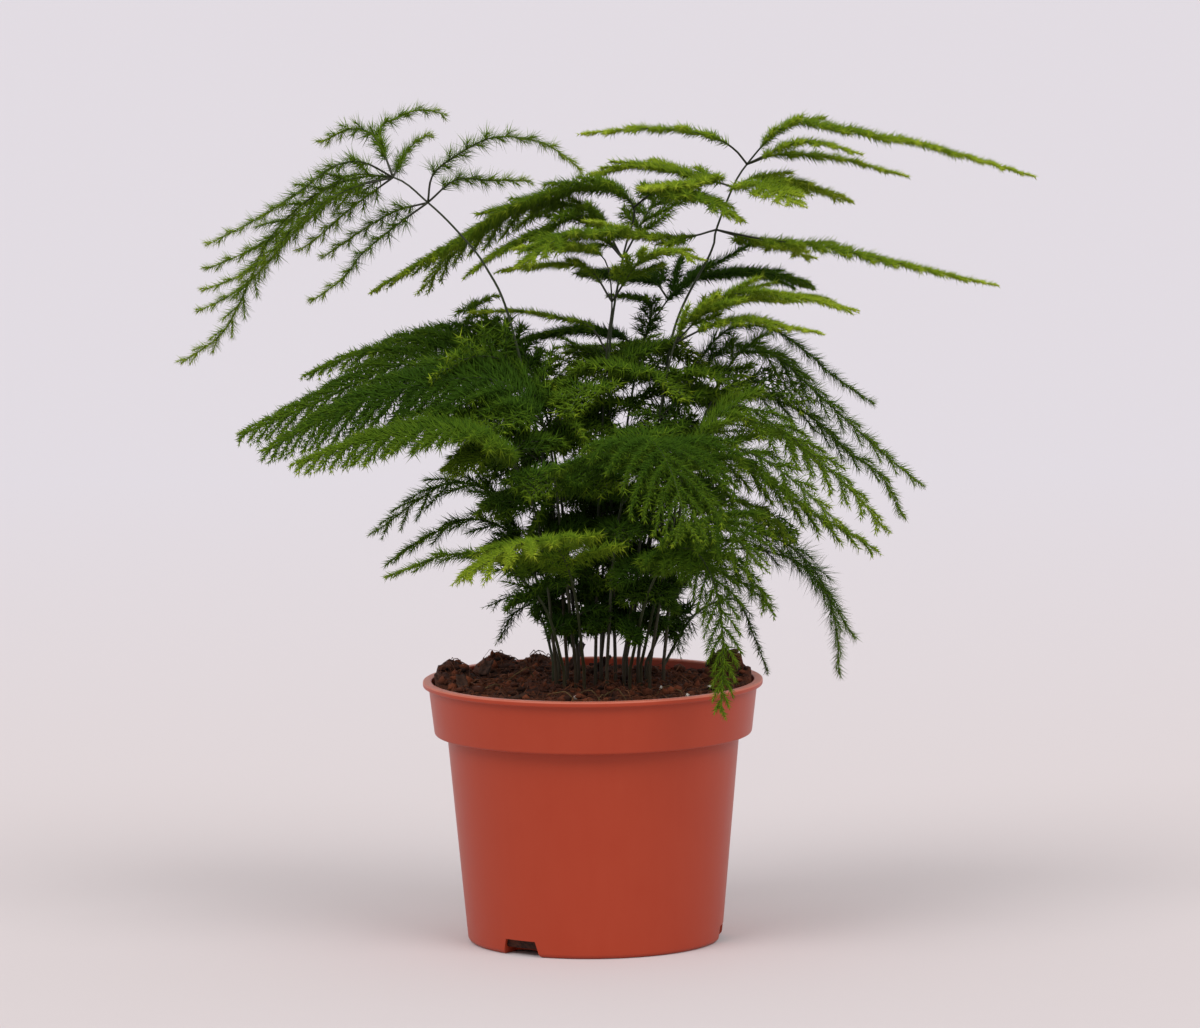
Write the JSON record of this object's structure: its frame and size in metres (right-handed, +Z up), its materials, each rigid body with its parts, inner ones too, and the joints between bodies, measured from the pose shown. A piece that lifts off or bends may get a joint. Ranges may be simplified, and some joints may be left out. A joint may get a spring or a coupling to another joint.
{
  "type": "potted lace fern",
  "caption": "Pot plant: wiry stems with flat, lacy sprays of needle-like leaflets, rising in a clump from peat in a banded plastic nursery pot.",
  "frame": {"origin": "on the pot's axis, on the flat pad under the pot that rests on the table", "axes": "+Z up along the pot's axis, +X to the right and +Y to the back as the plant is seen from the front"},
  "size_m": [0.296, 0.2095, 0.2988],
  "materials": {
    "terracotta_plastic": "satin",
    "peat": "matte",
    "young_foliage": "matte",
    "light_foliage": "matte",
    "green_foliage": "matte",
    "dark_foliage": "matte"
  },
  "bodies": {
    "root": {"pot": "terracotta_plastic", "potting_soil": "peat", "frond_high_left": "green_foliage", "frond_high_middle": "light_foliage", "frond_high_right": "young_foliage", "frond_middle_tier": "light_foliage", "frond_left_upper": "dark_foliage", "frond_left_middle": "dark_foliage", "frond_left_front": "green_foliage", "frond_right_tier": "young_foliage", "frond_right_back_tier": "dark_foliage", "frond_right_long_twig": "green_foliage", "frond_right_outer": "green_foliage", "frond_right_front": "light_foliage", "frond_right_drooping": "green_foliage", "frond_front": "light_foliage", "frond_front_right": "dark_foliage", "frond_front_low_left": "young_foliage", "frond_front_hanging": "light_foliage", "frond_low_left": "green_foliage", "frond_low_left_front": "green_foliage", "frond_low_wisp_left": "dark_foliage", "frond_low_wisp_right": "dark_foliage", "frond_back": "green_foliage", "frond_back_left": "dark_foliage", "frond_back_right": "green_foliage"}
  },
  "joints": []
}
